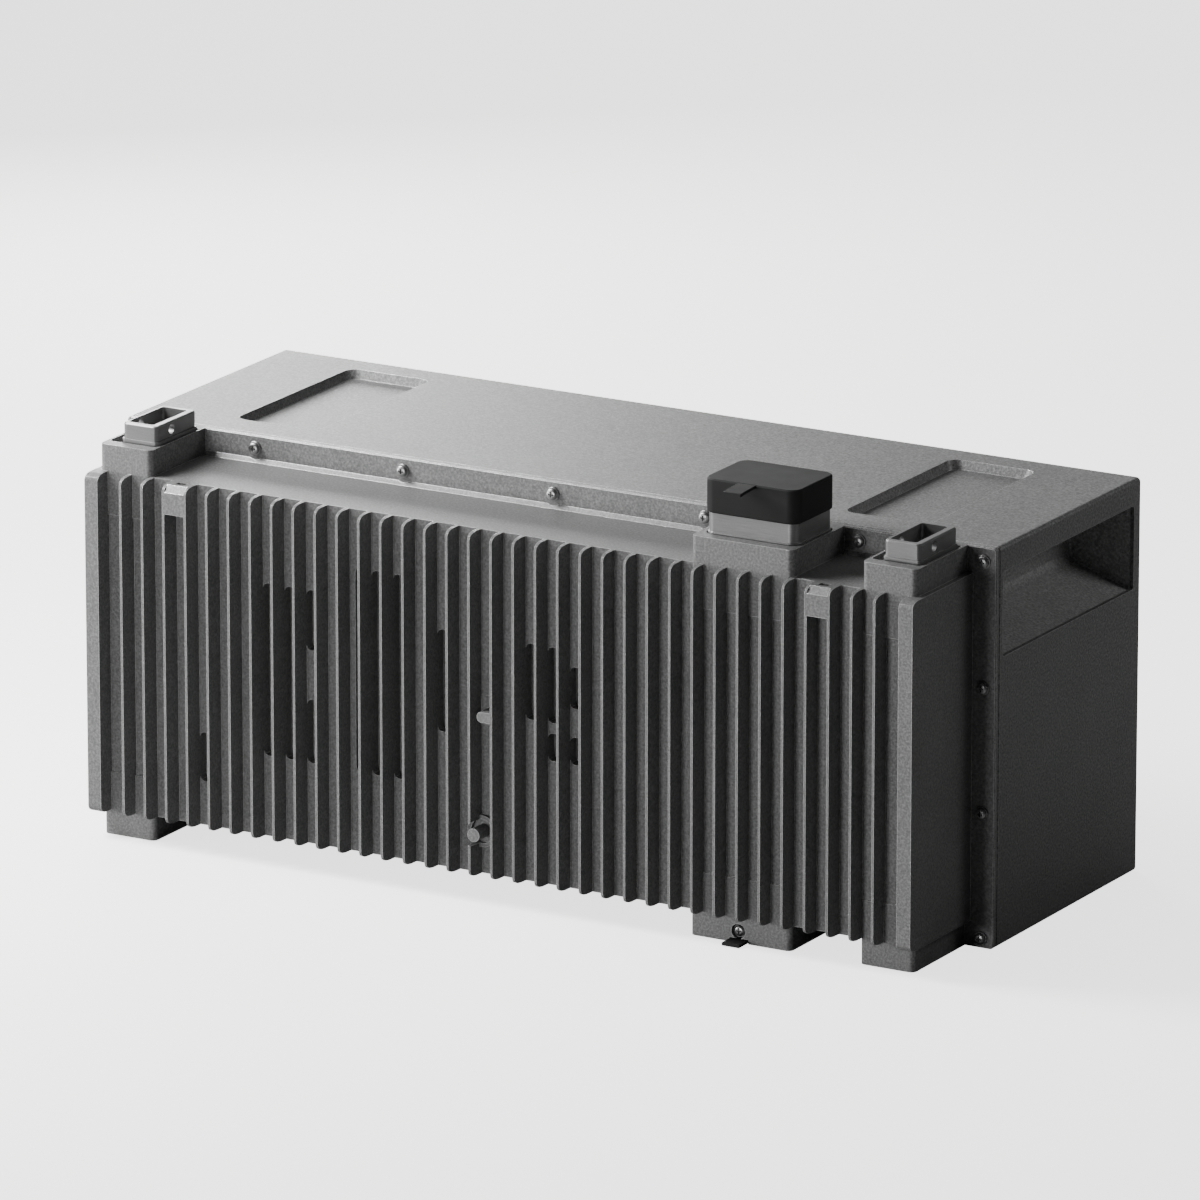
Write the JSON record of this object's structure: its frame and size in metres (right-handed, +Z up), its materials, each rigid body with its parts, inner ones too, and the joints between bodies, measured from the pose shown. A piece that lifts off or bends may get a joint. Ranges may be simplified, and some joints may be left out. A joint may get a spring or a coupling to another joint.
{
  "type": "stackable battery module",
  "caption": "Stackable battery power station: a finned cast housing bolted to a box cover, with a capped connector and locating posts on top and hand grips in its sides.",
  "frame": {"origin": "middle of the underside, at the centre of the whole part's box", "axes": "+X along the long side to the right, +Y from the fins to the cover's back, +Z up out of the connector"},
  "size_m": [0.65, 0.2788, 0.303],
  "materials": {
    "casting": "satin graphite powder coat on cast aluminium",
    "cover": "fine-textured graphite powder coat",
    "collar": "bead-blasted grey anodised",
    "connector_plastic": "matte black",
    "contact": "plated",
    "cap_rubber": "matte black silicone",
    "seal": "matte",
    "screw": "dark zinc plate",
    "steel": "plain",
    "cell": "blue wrap on an aluminium can",
    "busbar": "plain bars on an insulating plate",
    "board": "green solder mask",
    "pad": "soft grey gap filler",
    "fuse": "ceramic white",
    "cable_red": "silicone cable",
    "cable_black": "sleeved bundle"
  },
  "bodies": {
    "module": {"heatsink_housing": "casting", "rear_cover": "cover", "cover_gasket": "seal", "grip_cup_left": "cover", "grip_cup_right": "cover", "stacking_post_left": "collar", "stacking_post_right": "collar", "top_connector_collar": "collar", "top_connector_insert": "connector_plastic", "top_connector_contacts": "contact", "bottom_connector_socket": "connector_plastic", "connector_lock_screw": "screw", "end_plate_left": "steel", "end_plate_right": "steel", "cell_tray": "connector_plastic", "clamp_belt": "steel", "busbar_bridge": "busbar", "power_board": "board", "bms_board": "board", "thermal_pad": "pad", "contactor": "connector_plastic", "main_fuse": "fuse", "positive_cable": "cable_red", "link_harness": "cable_black", "cell_01": "cell", "cell_02": "cell", "cell_03": "cell", "cell_04": "cell", "cell_05": "cell", "cell_06": "cell", "cell_07": "cell", "cell_08": "cell", "cell_09": "cell", "cell_10": "cell", "cell_11": "cell", "cell_12": "cell", "cell_13": "cell", "cell_14": "cell", "cell_15": "cell", "cell_16": "cell", "flange_bolt_top_1": "screw", "flange_bolt_top_2": "screw", "flange_bolt_top_3": "screw", "flange_bolt_top_4": "screw", "flange_bolt_top_5": "screw", "flange_bolt_bottom_1": "screw", "flange_bolt_bottom_2": "screw", "flange_bolt_bottom_3": "screw", "flange_bolt_bottom_4": "screw", "flange_bolt_bottom_5": "screw", "flange_bolt_left_1": "screw", "flange_bolt_left_2": "screw", "flange_bolt_left_3": "screw", "flange_bolt_left_4": "screw", "flange_bolt_right_1": "screw", "flange_bolt_right_2": "screw", "flange_bolt_right_3": "screw", "flange_bolt_right_4": "screw"},
    "top_cap": {"top_dust_cap": "cap_rubber"},
    "bottom_cap": {"bottom_dust_cap": "cap_rubber"}
  },
  "joints": [
    {"name": "top_cap_pull", "type": "slide", "parent": "module", "child": "top_cap", "axis": [0, 0, 1], "range_m": [0, 0.03]},
    {"name": "bottom_cap_pull", "type": "slide", "parent": "module", "child": "bottom_cap", "axis": [0, 0, -1], "range_m": [0, 0.02]}
  ]
}
